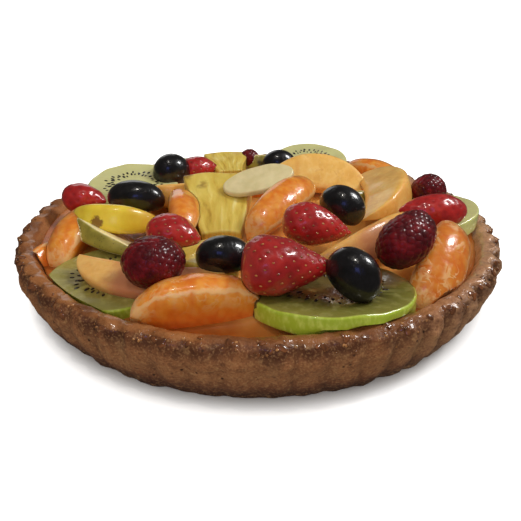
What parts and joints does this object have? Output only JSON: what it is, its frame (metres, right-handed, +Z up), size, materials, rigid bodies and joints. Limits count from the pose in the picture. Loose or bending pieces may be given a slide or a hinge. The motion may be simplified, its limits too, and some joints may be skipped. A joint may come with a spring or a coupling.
{
  "type": "fruit tart",
  "caption": "Round fruit tart: a fluted shortcrust shell filled with custard and heaped with glazed fruit slices, segments and berries, with a small bare oval plaque.",
  "frame": {"origin": "centre of the flat underside of the shell", "axes": "+Z up; front of the tart, as in the picture, towards -Y; +X to the right"},
  "size_m": [0.1998, 0.1998, 0.0459],
  "materials": {
    "crust": "baked shortcrust, dry wall with a glazed rim",
    "filling": "custard under a clear amber glaze",
    "kiwi": "wet cut flesh under clear glaze",
    "mandarin": "moist segment under clear glaze",
    "peach": "wet cut flesh under clear glaze",
    "pineapple": "fibrous cut flesh under clear glaze",
    "pear": "cut flesh with a green skin edge under clear glaze",
    "mango": "wet cut flesh under clear glaze",
    "strawberry": "glazed red skin with seeds",
    "raspberry": "glazed dark drupelets",
    "grape": "glazed black skin",
    "plaque": "satin white chocolate"
  },
  "bodies": {
    "root": {"plaque": "plaque", "raspberry_left": "raspberry", "raspberry_right": "raspberry", "grape_front": "grape", "strawberry_front": "strawberry", "grape_mid": "grape", "grape_right_mid": "grape", "strawberry_mid": "strawberry", "strawberry_right": "strawberry", "strawberry_mid_left": "strawberry", "strawberry_left": "strawberry", "grape_left": "grape", "grape_back_left": "grape", "grape_back": "grape", "raspberry_back_right": "raspberry", "raspberry_back": "raspberry", "strawberry_back": "strawberry", "mandarin_front": "mandarin", "mandarin_right": "mandarin", "mandarin_center": "mandarin", "mandarin_left": "mandarin", "mandarin_mid_left": "mandarin", "mango_left": "mango", "peach_right": "peach", "peach_mid": "peach", "peach_back": "peach", "peach_front": "peach", "pineapple_center": "pineapple", "kiwi_front": "kiwi", "pineapple_mid": "pineapple", "pineapple_back": "pineapple", "pear_left": "pear", "pear_right": "pear", "pear_back": "pear", "peach_back_left": "peach", "kiwi_back_left": "kiwi", "kiwi_left": "kiwi", "kiwi_right": "kiwi", "kiwi_back": "kiwi", "mandarin_back": "mandarin", "mandarin_back_right": "mandarin", "kiwi_back_far": "kiwi", "mandarin_left_low": "mandarin", "filling": "filling", "crust": "crust"}
  },
  "joints": []
}
